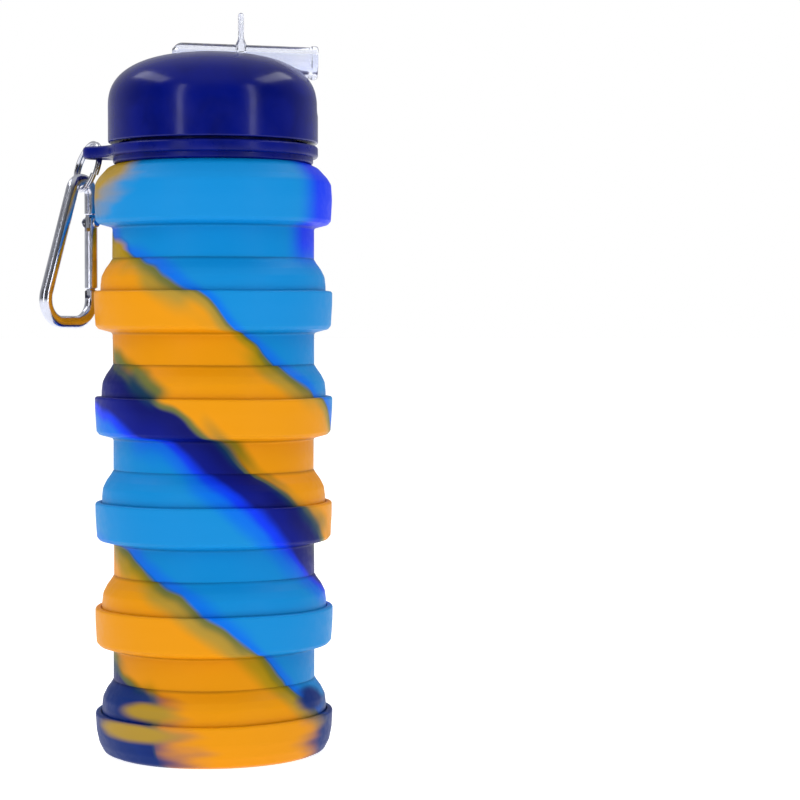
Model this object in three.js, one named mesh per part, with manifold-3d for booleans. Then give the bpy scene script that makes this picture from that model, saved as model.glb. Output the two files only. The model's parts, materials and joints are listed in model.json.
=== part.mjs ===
// Collapsible silicone travel bottle with a flip-spout screw cap and a carabiner.
// Millimetres, +Z up. The origin is the centre of the flat base. The bottle stands fully extended,
// the ear and the carabiner are on its -X side, and the spout lies shut along +X.
import * as THREE from 'three';
import { mergeVertices } from 'three/addons/utils/BufferGeometryUtils.js';
import Module from 'manifold-3d';

const wasm = await Module();
wasm.setup();

// ---- driving dimensions ----
const GAP = 0.3;                    // running gap between neighbouring pieces
const TURN_STEPS = 24;              // facets round the bottle

const RING_RADIUS = 35.0;           // outer radius of the wide rings
const WALL_RADIUS = 29.6;           // outer radius of the narrow walls between them
const SKIN = 1.6;                   // thickness of the narrow walls
const CHANNEL_RADIUS = 33.2;        // inside of the wide rings
const FOLDS = 5;
const PITCH = 30.9;                 // ring to ring when extended
const LIP_Z = 12.5;                 // top of the base cup
const CREASE_RISE = 9.3;            // from a ring's lip up to the foot of the wall above
const BAND_HEIGHT = 10.6;           // depth of the channel inside a ring
const FLARE_SKIN = 1.0;

const SHOULDER_Z = LIP_Z + FOLDS * PITCH;      // 167.0
const COLLAR_BOTTOM = 175.3;
const COLLAR_TOP = 178.8;
const COLLAR_RADIUS = 30.85;
const TUBE_TOP = 193.6;
const TUBE_RADIUS = 24.6;
const BORE_RADIUS = 20.5;

const PLUG_RADIUS = 18.0;           // cap's plug, loose in the bore: the flat seal does the sealing

const THREAD_LEAD = 9;
const THREAD_STARTS = 2;
const NECK_TURNS = 0.9;              // length of each ridge on the neck
const CAP_TURNS = 0.42;             // and in the cap, clear of the spout's groove
const CAP_THREAD_START = THREE.MathUtils.degToRad(15);
const THREAD_BOTTOM = 182.3;
const RIDGE_RADIUS = 1.1;
const RIDGE_SEAT = 0.05;            // between a ridge's foot and the wall it stands on

const SKIRT_BOTTOM = 179.6;
const SKIRT_TOP = 194.0;            // the skirt ends and the crown starts, just above the tube
const DOME_FOOT = 190.0;
const DOME_TOP = 206.3;
const DOME_POWER = 2.5;             // exponent of the dome's rounded-square outline
const SKIRT_INNER = 27.5;
const GROOVE_WIDTH = 11.0;
const GROOVE_FLOOR = 198.8;
const GROOVE_BACK = -14.0;
const GROOVE_FRONT = 24.0;

const PIVOT = new THREE.Vector3(-8.0, 0, 203.7);   // spout hinge, along Y
const SPOUT_ROOT = new THREE.Vector3(-7.0, 0, 204.6);
const MOUTH = new THREE.Vector3(30.8, 0, 203.5);
const SPOUT_RADIUS = 4.6;
const SPOUT_BORE = 2.7;

const EAR_TURN = THREE.MathUtils.degToRad(8.5);     // the ear points this far behind -X
const EAR_REACH = 34.2;             // bottle axis to the ear's hole
const EAR_RADIUS = 4.6;
const EAR_HOLE = 3.1;

const SPLIT_RING_RADIUS = 7.4;
const SPLIT_RING_YAW = THREE.MathUtils.degToRad(65);
const SPLIT_RING_LEAN = THREE.MathUtils.degToRad(16);
const ROD_RADIUS = 1.9;
const CLIP_TURN = THREE.MathUtils.degToRad(49);    // carabiner's plane, about the vertical

// ---- materials ----
function paint(color, roughness, metalness) {
  return new THREE.MeshStandardMaterial({ color, roughness, metalness });
}
const SILICONE = [0x2b8ccd, 0x1a58d0, 0x7f8a5c, 0xe0962a, 0x2b8ccd, 0x35669c]
  .map((color) => paint(color, 0.55, 0));
const CAP_BLUE = paint(0x0f1e82, 0.2, 0);
const CAP_INNER = paint(0x14226a, 0.45, 0);
const SEAL_WHITE = paint(0xdfe4ea, 0.6, 0);
const CLEAR = paint(0xd6dcf2, 0.08, 0);
const STEEL = paint(0xc9ccd4, 0.2, 1);
const ALUMINIUM = paint(0xb9bfcc, 0.25, 1);

// ---- solids ----
function positionsOnly(geometry) {
  geometry.deleteAttribute('normal');
  geometry.deleteAttribute('uv');
  return mergeVertices(geometry, 1e-4);
}

function solid(geometry) {
  const merged = positionsOnly(geometry);
  return new wasm.Manifold(new wasm.Mesh({
    numProp: 3,
    vertProperties: Float32Array.from(merged.attributes.position.array),
    triVerts: Uint32Array.from(merged.index.array),
  }));
}

function geometryOf(body) {
  const mesh = body.getMesh();
  const geometry = new THREE.BufferGeometry();
  geometry.setAttribute('position', new THREE.BufferAttribute(mesh.vertProperties, 3));
  geometry.setIndex(new THREE.BufferAttribute(mesh.triVerts, 1));
  return geometry;
}

function lathe(points, steps = TURN_STEPS) {
  const outline = points.map(([radius, z]) => new THREE.Vector2(radius, z));
  return new THREE.LatheGeometry(outline, steps).rotateX(Math.PI / 2);
}

// A lathe about Z whose closed outline is listed counter-clockwise in (radius, z).
function turned(points, steps = TURN_STEPS) {
  const closed = points[0][0] === 0 ? points : [...points, points[0]];
  return lathe(closed, steps);
}

function block(low, high) {
  const size = high.map((value, axis) => value - low[axis]);
  const middle = high.map((value, axis) => (value + low[axis]) / 2);
  return solid(new THREE.BoxGeometry(...size).translate(...middle));
}

function rod(radius, from, to, steps = 20) {
  const along = new THREE.Vector3().subVectors(to, from);
  const geometry = new THREE.CylinderGeometry(radius, radius, along.length(), steps);
  const turn = new THREE.Quaternion().setFromUnitVectors(
    new THREE.Vector3(0, 1, 0), along.clone().normalize());
  geometry.applyQuaternion(turn);
  const middle = new THREE.Vector3().addVectors(from, to).multiplyScalar(0.5);
  return solid(geometry.translate(middle.x, middle.y, middle.z));
}

function disc(radius, sides) {
  const shape = new THREE.Shape();
  for (let i = 0; i < sides; i += 1) {
    const angle = (i / sides) * 2 * Math.PI;
    const method = i === 0 ? 'moveTo' : 'lineTo';
    shape[method](radius * Math.cos(angle), radius * Math.sin(angle));
  }
  shape.closePath();
  return shape;
}

class Helix extends THREE.Curve {
  constructor(radius, bottom, start, turns, lead) {
    super();
    Object.assign(this, { radius, bottom, start, turns, lead });
  }

  getPoint(t) {
    const angle = this.start + t * this.turns * 2 * Math.PI;
    const rise = this.bottom + t * this.turns * this.lead;
    return new THREE.Vector3(
      this.radius * Math.cos(angle), this.radius * Math.sin(angle), rise);
  }
}

function joined(first, others) {
  return others.reduce((sum, next) => sum.add(next), first);
}

// Each start of a thread as a ridge of its own, trimmed to stand just clear of its wall.
function threadRidges(name, radius, bottom, first, turns, trim) {
  for (let i = 0; i < THREAD_STARTS; i += 1) {
    const start = first + (i / THREAD_STARTS) * 2 * Math.PI;
    const path = new Helix(radius, bottom, start, turns, THREAD_LEAD);
    const ridge = solid(new THREE.ExtrudeGeometry(
      disc(RIDGE_RADIUS, 6), { steps: 20, bevelEnabled: false, extrudePath: path }));
    place(`${name}_${i + 1}`, geometryOf(trim(ridge)), CAP_BLUE);
  }
}

// A full cylinder on the bottle's axis, past both ends of the cap.
function core(radius) {
  return solid(turned([[0, 160], [radius, 160], [radius, 210], [0, 210]]));
}

const bottle = new THREE.Group();

function place(name, geometry, material, parent = bottle) {
  const mesh = new THREE.Mesh(positionsOnly(geometry), material);
  mesh.name = name;
  parent.add(mesh);
  return mesh;
}

// ---- folding body: a base cup, four fold rings, a shoulder, and the flares between them ----
const INNER_WALL = WALL_RADIUS - SKIN;

// The narrow wall under a ring and the ring's outer face, upwards from the crease.
function ringOutside(top, bulge) {
  return [
    [WALL_RADIUS, top - PITCH + CREASE_RISE],
    [WALL_RADIUS, top - 12.3],
    [RING_RADIUS - 1.1, top - 11.0],
    [bulge - 0.4, top - 10.2],
    [bulge, top - 4.0],
  ];
}

// The inside of a ring, downwards from the given height to the crease.
function ringInside(top, from) {
  return [
    [CHANNEL_RADIUS, from],
    [CHANNEL_RADIUS, top - BAND_HEIGHT],
    [INNER_WALL + 0.5, top - BAND_HEIGHT],
    [INNER_WALL, top - BAND_HEIGHT - 0.6],
    [INNER_WALL, top - PITCH + CREASE_RISE],
  ];
}

function baseCup() {
  const lip = LIP_Z;
  place('base_cup', turned([
    [0, 0],
    [30.5, 0],
    [31.7, 0.3],
    [32.8, 1.4],
    [34.0, 3.8],
    [34.6, 6.0],
    [RING_RADIUS, lip - 0.8],
    [RING_RADIUS - 0.6, lip],
    [CHANNEL_RADIUS, lip],
    [CHANNEL_RADIUS, 4.0],
    [CHANNEL_RADIUS - 2.0, 2.0],
    [0, 2.0],
  ]), SILICONE[5]);
}

function foldRing(index) {
  const top = LIP_Z + index * PITCH;
  place(`fold_ring_${index}`, turned([
    ...ringOutside(top, RING_RADIUS - 0.05),
    [RING_RADIUS, top - 0.8],
    [RING_RADIUS - 0.6, top],
    ...ringInside(top, top),
  ]), SILICONE[index % SILICONE.length]);
}

// The soft flare that rolls inside out when its section folds.
function foldWall(index) {
  const lip = LIP_Z + (index - 1) * PITCH;
  const outside = [[33.0, GAP], [32.6, 4.2], [31.2, 7.0], [29.75, CREASE_RISE - GAP]];
  const inside = outside.map(([radius, rise]) => [radius - FLARE_SKIN * 1.1, rise]).reverse();
  const outline = [...outside, ...inside].map(([radius, rise]) => [radius, lip + rise]);
  place(`fold_wall_${index}`, turned(outline), SILICONE[(index + 2) % SILICONE.length]);
}

const NECK_INNER = 23.0;
const NECK_OUTER = 26.5;

function shoulderRing() {
  const top = SHOULDER_Z;
  place('shoulder_ring', turned([
    ...ringOutside(top, RING_RADIUS - 0.3),
    [RING_RADIUS - 0.3, top - 0.7],
    [34.2, top + 1.4],
    [32.3, top + 4.0],
    [28.2, top + 6.4],
    [NECK_OUTER, top + 7.2],
    [NECK_OUTER, COLLAR_BOTTOM - GAP],
    [NECK_INNER, COLLAR_BOTTOM - GAP],
    [NECK_INNER, top + 4.0],
    [28.2, top + 4.0],
    [31.6, top + 2.2],
    ...ringInside(top, top - 0.6),
  ]), SILICONE[0]);
}

baseCup();
for (let i = 1; i < FOLDS; i += 1) {
  foldRing(i);
}
for (let i = 1; i <= FOLDS; i += 1) {
  foldWall(i);
}
shoulderRing();

// ---- neck: a flange with a holed ear, and a tube with a two-start thread ----
const earX = -EAR_REACH * Math.cos(EAR_TURN);
const earY = EAR_REACH * Math.sin(EAR_TURN);
const EAR_BLEND = THREE.MathUtils.degToRad(24);    // half angle where the ear leaves the flange

function collarOutline() {
  const axis = Math.PI - EAR_TURN;                 // direction of the ear
  const shape = new THREE.Shape();
  const from = axis + EAR_BLEND;
  const to = axis - EAR_BLEND + 2 * Math.PI;
  const onFlange = (angle) => [COLLAR_RADIUS * Math.cos(angle), COLLAR_RADIUS * Math.sin(angle)];
  const onEar = (angle) => [
    earX + EAR_RADIUS * Math.cos(angle), earY + EAR_RADIUS * Math.sin(angle)];
  const bend = (angle) => [30.6 * Math.cos(angle), 30.6 * Math.sin(angle)];
  shape.moveTo(...onFlange(from));
  shape.absarc(0, 0, COLLAR_RADIUS, from, to, false);
  const side = THREE.MathUtils.degToRad(68);       // where the fillets meet the ear's round end
  const lead = THREE.MathUtils.degToRad(12);
  shape.quadraticCurveTo(...bend(axis - lead), ...onEar(axis - side));
  shape.absarc(earX, earY, EAR_RADIUS, axis - side, axis + side, false);
  shape.quadraticCurveTo(...bend(axis + lead), ...onFlange(from));
  return shape;
}

function neckCollar() {
  const bevel = 0.5;
  const flange = solid(new THREE.ExtrudeGeometry(collarOutline(), {
    depth: COLLAR_TOP - COLLAR_BOTTOM - 2 * bevel,
    curveSegments: TURN_STEPS / 2,
    bevelThickness: bevel,
    bevelSize: bevel,
    bevelOffset: -bevel,
    bevelSegments: 1,
  }).translate(0, 0, COLLAR_BOTTOM + bevel));
  const earHole = rod(EAR_HOLE, new THREE.Vector3(earX, earY, COLLAR_BOTTOM - 1),
    new THREE.Vector3(earX, earY, COLLAR_TOP + 1), 24);
  place('neck_collar', geometryOf(flange.subtract(core(TUBE_RADIUS + GAP)).subtract(earHole)),
    CAP_BLUE);
}

// The tube is clamped in the silicone neck: its foot is wider than the neck's throat.
function neckTube() {
  const foot = 168.6;
  const shelf = SHOULDER_Z + 4.0 - GAP;            // under the shoulder's inner face
  const seat = COLLAR_BOTTOM;
  place('neck_tube', turned([
    [BORE_RADIUS, foot],
    [TUBE_RADIUS + GAP, foot],
    [TUBE_RADIUS + GAP, shelf],
    [NECK_INNER - GAP, shelf],
    [NECK_INNER - GAP, seat],
    [TUBE_RADIUS, seat],
    [TUBE_RADIUS, TUBE_TOP],
    [BORE_RADIUS, TUBE_TOP],
  ]), CAP_BLUE);
  threadRidges('neck_thread', TUBE_RADIUS + 0.5, THREAD_BOTTOM, 0, NECK_TURNS,
    (ridge) => ridge.subtract(core(TUBE_RADIUS + RIDGE_SEAT)));
}
neckCollar();
neckTube();

// ---- cap: a domed shell with a groove for the spout, liner, seals and vent ----
function domeOutline(radius, foot, height, bottom) {
  const points = [[radius, bottom]];
  const steps = 7;
  for (let i = 0; i <= steps; i += 1) {
    const angle = (i / steps) * (Math.PI / 2);
    const across = Math.cos(angle) ** (2 / DOME_POWER);
    const up = Math.sin(angle) ** (2 / DOME_POWER);
    points.push([i === steps ? 0 : radius * across, foot + height * up]);
  }
  return [[0, bottom], ...points];
}

const CEILING = 197.2;
const GROOVE_WALL = 1.6;

// The groove's side view, with the finger ramp that runs out through the dome's +X side.
function grooveCut(halfWidth, drop, back) {
  const shape = new THREE.Shape();
  shape.moveTo(back, GROOVE_FLOOR - drop);
  shape.lineTo(GROOVE_FRONT, GROOVE_FLOOR - drop);
  shape.lineTo(COLLAR_RADIUS + 1, 186.1 - drop);
  shape.lineTo(COLLAR_RADIUS + 1, DOME_TOP + 2);
  shape.lineTo(back, DOME_TOP + 2);
  shape.closePath();
  const depth = 2 * halfWidth;
  return solid(new THREE.ExtrudeGeometry(shape, { depth, bevelEnabled: false })
    .translate(0, 0, -halfWidth)
    .rotateX(Math.PI / 2));
}

function capDome() {
  const outer = solid(lathe(domeOutline(
    COLLAR_RADIUS, DOME_FOOT, DOME_TOP - DOME_FOOT, SKIRT_BOTTOM)));
  const inner = solid(lathe(domeOutline(SKIRT_INNER, 189.0, 14.6, SKIRT_BOTTOM - 1)));
  const trough = grooveCut(
    GROOVE_WIDTH / 2 + GROOVE_WALL, GROOVE_WALL, GROOVE_BACK - GROOVE_WALL).intersect(outer);
  const bearing = rod(1.55, new THREE.Vector3(PIVOT.x, -8, PIVOT.z),
    new THREE.Vector3(PIVOT.x, 8, PIVOT.z), 12);
  const seat = rod(4.6, new THREE.Vector3(PIVOT.x, 0, 190), new THREE.Vector3(PIVOT.x, 0, 201));
  const shell = outer.subtract(inner).add(trough)
    .subtract(grooveCut(GROOVE_WIDTH / 2, 0, GROOVE_BACK));
  const crown = shell.trimByPlane([0, 0, 1], SKIRT_TOP + GAP);
  place('cap_dome', geometryOf(crown.subtract(bearing).subtract(seat)), CAP_BLUE);
  place('cap_skirt', geometryOf(shell.trimByPlane([0, 0, -1], -SKIRT_TOP)), CAP_BLUE);
  const bottom = THREAD_BOTTOM + THREAD_LEAD * (1 / 4 + CAP_THREAD_START / (2 * Math.PI));
  threadRidges('cap_thread', SKIRT_INNER - 0.6, bottom, CAP_THREAD_START, CAP_TURNS,
    (ridge) => ridge.intersect(core(SKIRT_INNER - RIDGE_SEAT)));
}
capDome();

const VENT_X = 12;
const LINER_FOOT = 196.0;
const LINER_TOP = CEILING - GAP;
const PLUG_FOOT = 192.0;

// The drinking port and the vent run down through the liner and the plug.
function drilled(body) {
  const hole = (radius, x) => rod(
    radius, new THREE.Vector3(x, 0, PLUG_FOOT - 2), new THREE.Vector3(x, 0, LINER_TOP + 2));
  return body.subtract(hole(2.2, PIVOT.x)).subtract(hole(1.6, VENT_X));
}

function capLiner() {
  const sheet = solid(turned([
    [0, LINER_FOOT],
    [24.2, LINER_FOOT],
    [24.0, LINER_TOP],
    [0, LINER_TOP],
  ]));
  const ramp = block([GROOVE_FRONT - 6, -9, LINER_FOOT - 1], [30, 9, LINER_TOP + 1]);
  place('cap_liner', geometryOf(drilled(sheet).subtract(ramp)), CAP_INNER);
  const plug = solid(turned([
    [0, PLUG_FOOT],
    [PLUG_RADIUS - 0.6, PLUG_FOOT],
    [PLUG_RADIUS, PLUG_FOOT + 0.6],
    [PLUG_RADIUS, LINER_FOOT - GAP],
    [0, LINER_FOOT - GAP],
  ]));
  place('cap_plug', geometryOf(drilled(plug)), CAP_INNER);
}
capLiner();

place('cap_seal', turned([
  [20.8, TUBE_TOP + GAP],
  [24.0, TUBE_TOP + GAP],
  [24.3, TUBE_TOP + GAP + 0.4],
  [24.3, LINER_FOOT - GAP - 0.3],
  [24.0, LINER_FOOT - GAP],
  [20.8, LINER_FOOT - GAP],
]), SEAL_WHITE);

place('spout_seat_seal', turned([
  [1.9, 0],
  [4.2, 0],
  [4.2, 1.5],
  [3.6, 1.9],
  [1.9, 1.9],
], 24).translate(PIVOT.x, 0, CEILING), SEAL_WHITE);

place('vent_valve', turned([
  [0, -1.2],
  [0.7, -1.2],
  [1.3, 0],
  [1.3, 5.0],
  [0, 5.0],
], 12).translate(VENT_X, 0, 191.8), SEAL_WHITE);

// ---- flip spout: a clear tube with side pins, a lip and a finger tab ----
function flipSpout() {
  const axis = new THREE.Vector3().subVectors(MOUTH, SPOUT_ROOT).normalize();
  const tube = rod(SPOUT_RADIUS, SPOUT_ROOT, MOUTH, 18);
  const lip = rod(SPOUT_RADIUS + 0.35, MOUTH.clone().addScaledVector(axis, -1.8), MOUTH, 18);
  const elbow = solid(new THREE.SphereGeometry(SPOUT_RADIUS, 16, 10)
    .translate(PIVOT.x, PIVOT.y, PIVOT.z));
  const pins = rod(1.2, new THREE.Vector3(PIVOT.x, -6.9, PIVOT.z),
    new THREE.Vector3(PIVOT.x, 6.9, PIVOT.z), 12);
  const tabShape = new THREE.Shape();
  tabShape.moveTo(-4.5, 205);
  tabShape.lineTo(4.5, 205);
  tabShape.lineTo(4.5, 215);
  tabShape.quadraticCurveTo(4.4, 218, 0, 218);
  tabShape.quadraticCurveTo(-4.4, 218, -4.5, 215);
  tabShape.closePath();
  const tab = solid(new THREE.ExtrudeGeometry(tabShape, {
    depth: 2.1, bevelEnabled: false, curveSegments: 6,
  }).rotateX(Math.PI / 2).rotateZ(Math.PI / 2).translate(7.15, 0, 0));
  const bore = rod(SPOUT_BORE, SPOUT_ROOT.clone().addScaledVector(axis, -9),
    MOUTH.clone().addScaledVector(axis, 3), 14);
  const body = joined(tube, [lip, elbow, pins, tab]).subtract(bore);
  place('flip_spout', geometryOf(body), CLEAR);
}
flipSpout();

// ---- split ring through the ear, leaning out against the shoulder ----
const yawCos = Math.cos(SPLIT_RING_YAW);
const yawSin = Math.sin(SPLIT_RING_YAW);
const leanCos = Math.cos(SPLIT_RING_LEAN);
const leanSin = Math.sin(SPLIT_RING_LEAN);
const ringAlong = new THREE.Vector3(-yawCos, yawSin, 0);
const ringUp = new THREE.Vector3(leanSin * yawSin, leanSin * yawCos, leanCos);
const ringNormal = new THREE.Vector3().crossVectors(ringUp, ringAlong).negate();
const earWeb = new THREE.Vector3(earX, earY, (COLLAR_BOTTOM + COLLAR_TOP) / 2)
  .addScaledVector(ringAlong, (EAR_HOLE + EAR_RADIUS) / 2);
const ringCentre = earWeb.clone().addScaledVector(ringAlong, 1.5)
  .addScaledVector(ringUp, -4.05).addScaledVector(ringNormal, -0.2);

function splitRing() {
  const half = 0.55;
  const wide = 1.1;
  const geometry = turned([
    [SPLIT_RING_RADIUS - half, -wide + 0.4],
    [SPLIT_RING_RADIUS - half + 0.3, -wide],
    [SPLIT_RING_RADIUS + half - 0.3, -wide],
    [SPLIT_RING_RADIUS + half, -wide + 0.4],
    [SPLIT_RING_RADIUS + half, wide - 0.4],
    [SPLIT_RING_RADIUS + half - 0.3, wide],
    [SPLIT_RING_RADIUS - half + 0.3, wide],
    [SPLIT_RING_RADIUS - half, wide - 0.4],
  ], 32);
  const mesh = place('split_ring', geometry, STEEL);
  mesh.quaternion.setFromUnitVectors(new THREE.Vector3(0, 0, 1), ringNormal);
  mesh.position.copy(ringCentre);
}
splitRing();

// ---- carabiner, drawn in its own plane: x towards the gate, y up, z across the plane ----
const clip = new THREE.Group();
const BEND_RADIUS = 4.0;            // narrow top bend
const WIDE_RADIUS = 6.6;            // bottom corners
const hang = ringCentre.clone().addScaledVector(ringUp, -SPLIT_RING_RADIUS);
const CLIP_LENGTH = 46;
const TOP_Y = -BEND_RADIUS;                        // centre of the top bend, below the apex
const LOW_Y = -(CLIP_LENGTH - 2 * ROD_RADIUS) + WIDE_RADIUS;
const LOW_LEFT = -8.4;
const LOW_RIGHT = BEND_RADIUS - WIDE_RADIUS;
const GATE_X = BEND_RADIUS;
const HINGE_Y = -12.5;
const ARM_END_Y = HINGE_Y + 2.3;
const NOSE_Y = -32.6;

class FlatCurve extends THREE.Curve {
  constructor(path) {
    super();
    this.path = path;
  }

  getPoint(t) {
    const point = this.path.getPointAt(t);
    return new THREE.Vector3(point.x, point.y, 0);
  }
}

function framePath() {
  const apart = Math.hypot(LOW_LEFT, LOW_Y - TOP_Y);
  const downwards = Math.atan2(LOW_Y - TOP_Y, LOW_LEFT);
  const tangent = downwards - Math.acos((BEND_RADIUS - WIDE_RADIUS) / apart) + 2 * Math.PI;
  const path = new THREE.Path();
  path.moveTo(GATE_X, ARM_END_Y);
  path.lineTo(GATE_X, TOP_Y);
  path.absarc(0, TOP_Y, BEND_RADIUS, 0, tangent, false);
  path.absarc(LOW_LEFT, LOW_Y, WIDE_RADIUS, tangent, 1.5 * Math.PI, false);
  path.absarc(LOW_RIGHT, LOW_Y, WIDE_RADIUS, 1.5 * Math.PI, 2 * Math.PI, false);
  path.lineTo(GATE_X, NOSE_Y);
  return new FlatCurve(path);
}

function clipFrame() {
  const bar = solid(new THREE.ExtrudeGeometry(disc(ROD_RADIUS, 8), {
    steps: 52, bevelEnabled: false, extrudePath: framePath(),
  }));
  const tang = block([GATE_X - 1.5, HINGE_Y - 1.5, -0.75], [GATE_X + 1.5, ARM_END_Y + 1, 0.75]);
  const pinHole = rod(1.15, new THREE.Vector3(GATE_X, HINGE_Y, -3),
    new THREE.Vector3(GATE_X, HINGE_Y, 3), 16);
  const notch = block([GATE_X - 3, NOSE_Y - 2.4, -1.0], [GATE_X + 1.2, NOSE_Y + 1, 1.0]);
  place('carabiner_frame', geometryOf(bar.add(tang).subtract(pinHole).subtract(notch)),
    ALUMINIUM, clip);
}

const SLOT_FLOOR_Y = HINGE_Y - 2.6;

function clipGate() {
  const foot = NOSE_Y + 0.4;
  const bar = rod(ROD_RADIUS, new THREE.Vector3(GATE_X, foot, 0),
    new THREE.Vector3(GATE_X, HINGE_Y + 2, 0), 16);
  const body = block([GATE_X - 3, foot - 1, -3], [GATE_X + 3, HINGE_Y, 3]);
  const knuckle = rod(ROD_RADIUS - 0.05, new THREE.Vector3(GATE_X, HINGE_Y, -3),
    new THREE.Vector3(GATE_X, HINGE_Y, 3), 20);
  const slot = block([GATE_X - 3, SLOT_FLOOR_Y, -1.1], [GATE_X + 3, HINGE_Y + 3, 1.1]);
  const pinHole = rod(1.15, new THREE.Vector3(GATE_X, HINGE_Y, -3),
    new THREE.Vector3(GATE_X, HINGE_Y, 3), 16);
  const springHole = rod(1.0, new THREE.Vector3(GATE_X, SLOT_FLOOR_Y - 7, 0),
    new THREE.Vector3(GATE_X, SLOT_FLOOR_Y + 1, 0), 12);
  const tongue = block([GATE_X - 1.2, foot - 1.9, -0.7], [GATE_X + 0.9, foot + 1, 0.7]);
  const cut = bar.intersect(body.add(knuckle)).subtract(slot).subtract(pinHole)
    .subtract(springHole);
  place('carabiner_gate', geometryOf(cut.add(tongue)), ALUMINIUM, clip);
}

function gateRivet() {
  const head = 2.15;
  const geometry = turned([
    [0, -head - 0.5],
    [1.1, -head - 0.5],
    [1.6, -head],
    [0.85, -head],
    [0.85, head],
    [1.6, head],
    [1.1, head + 0.5],
    [0, head + 0.5],
  ], 16);
  place('gate_rivet', geometry.translate(GATE_X, HINGE_Y, 0), STEEL, clip);
}

function gateSpring() {
  const geometry = new THREE.CylinderGeometry(0.65, 0.65, 6.4, 10);
  place('gate_spring', geometry.translate(GATE_X, SLOT_FLOOR_Y - 3.4, 0), STEEL, clip);
}

clipFrame();
clipGate();
gateRivet();
gateSpring();

// Stand the carabiner's plane upright, turn it about the vertical, and hang it from the ring.
const RING_SEAT = 3.15;             // ring's wire to the rod's centre line, under the top bend
clip.rotation.set(Math.PI / 2, 0, CLIP_TURN, 'ZYX');
clip.position.set(hang.x, hang.y, hang.z + RING_SEAT);
bottle.add(clip);

export default bottle;
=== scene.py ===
import json
import math

import bmesh
import bpy
from mathutils import Matrix, Vector


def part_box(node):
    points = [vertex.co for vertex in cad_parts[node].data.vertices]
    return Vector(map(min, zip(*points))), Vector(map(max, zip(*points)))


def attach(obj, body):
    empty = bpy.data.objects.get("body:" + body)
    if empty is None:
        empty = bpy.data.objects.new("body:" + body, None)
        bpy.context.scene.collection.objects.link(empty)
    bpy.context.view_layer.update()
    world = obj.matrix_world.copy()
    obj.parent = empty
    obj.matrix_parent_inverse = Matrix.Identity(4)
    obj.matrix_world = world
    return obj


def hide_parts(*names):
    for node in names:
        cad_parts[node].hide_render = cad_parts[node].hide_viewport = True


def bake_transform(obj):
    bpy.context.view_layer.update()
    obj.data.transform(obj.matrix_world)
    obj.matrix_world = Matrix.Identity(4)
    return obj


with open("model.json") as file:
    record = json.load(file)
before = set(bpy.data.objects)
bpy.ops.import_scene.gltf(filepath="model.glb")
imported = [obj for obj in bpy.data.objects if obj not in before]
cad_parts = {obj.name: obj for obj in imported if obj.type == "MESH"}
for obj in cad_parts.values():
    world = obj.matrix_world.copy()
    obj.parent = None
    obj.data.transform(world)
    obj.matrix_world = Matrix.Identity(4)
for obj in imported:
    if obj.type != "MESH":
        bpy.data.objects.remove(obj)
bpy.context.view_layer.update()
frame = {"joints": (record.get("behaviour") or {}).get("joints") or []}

# A marbled silicone travel bottle that folds flat, with a screw cap, a flip spout and a carabiner.
# Metres, in the frame's own coordinates. Lengths below are written in millimetres times MM.
MM = 0.001
TAU = 2 * math.pi
joints = {joint["name"]: joint for joint in frame["joints"]}

# ---- sizes that the frame gives ----
base_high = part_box("base_cup")[1]
ring_low, ring_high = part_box("fold_ring_1")
collar_low, collar_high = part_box("neck_collar")
tube_low, tube_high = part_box("neck_tube")
RING_RADIUS = base_high[0]
LIP_Z = base_high[2]
PITCH = ring_high[2] - base_high[2]
FOLDS = 5
CREASE_RISE = ring_low[2] - base_high[2]
DOME_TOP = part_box("cap_dome")[1][2]
SKIRT_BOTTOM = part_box("cap_skirt")[0][2]
COLLAR_BOTTOM, COLLAR_TOP = collar_low[2], collar_high[2]

# ---- silicone profile, relative to the ring radius and to each ring's top ----
WALL_RADIUS = RING_RADIUS - 5.4 * MM
CHANNEL_RADIUS = RING_RADIUS - 1.8 * MM
WALL_SKIN = 1.6 * MM
BAND_FLOOR = 10.6 * MM
SHELF = 12.3 * MM
SILICONE_STEPS = 176                # points round each silicone piece
SILICONE_SPAN = 1.6                 # millimetres between points along its outline
HOLD = 0.12 * MM                    # distance of a holding point from the end of a span

# ---- crease lines, along which shade is painted, except on the rings' outer bands ----
OUTER_BAND = 1.4 * MM
CREASE_SHADE_REACH = 0.75 * MM
CREASES = [LIP_Z + k * PITCH + rise
           for k in range(FOLDS) for rise in (0, CREASE_RISE, PITCH - SHELF)]


# ==== mesh tools ====
def new_object(name, data):
    obj = bpy.data.objects.new(name, data)
    bpy.context.scene.collection.objects.link(obj)
    return obj


def shade(obj, angle=38):
    obj.data.shade_smooth()
    obj.data.set_sharp_from_angle(angle=math.radians(angle))
    return obj


def mesh_from(name, points, faces):
    mesh = bpy.data.meshes.new(name)
    mesh.from_pydata([tuple(p) for p in points], [], faces)
    work = bmesh.new()
    work.from_mesh(mesh)
    bmesh.ops.recalc_face_normals(work, faces=work.faces)
    work.to_mesh(mesh)
    work.free()
    return new_object(name, mesh)


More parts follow.
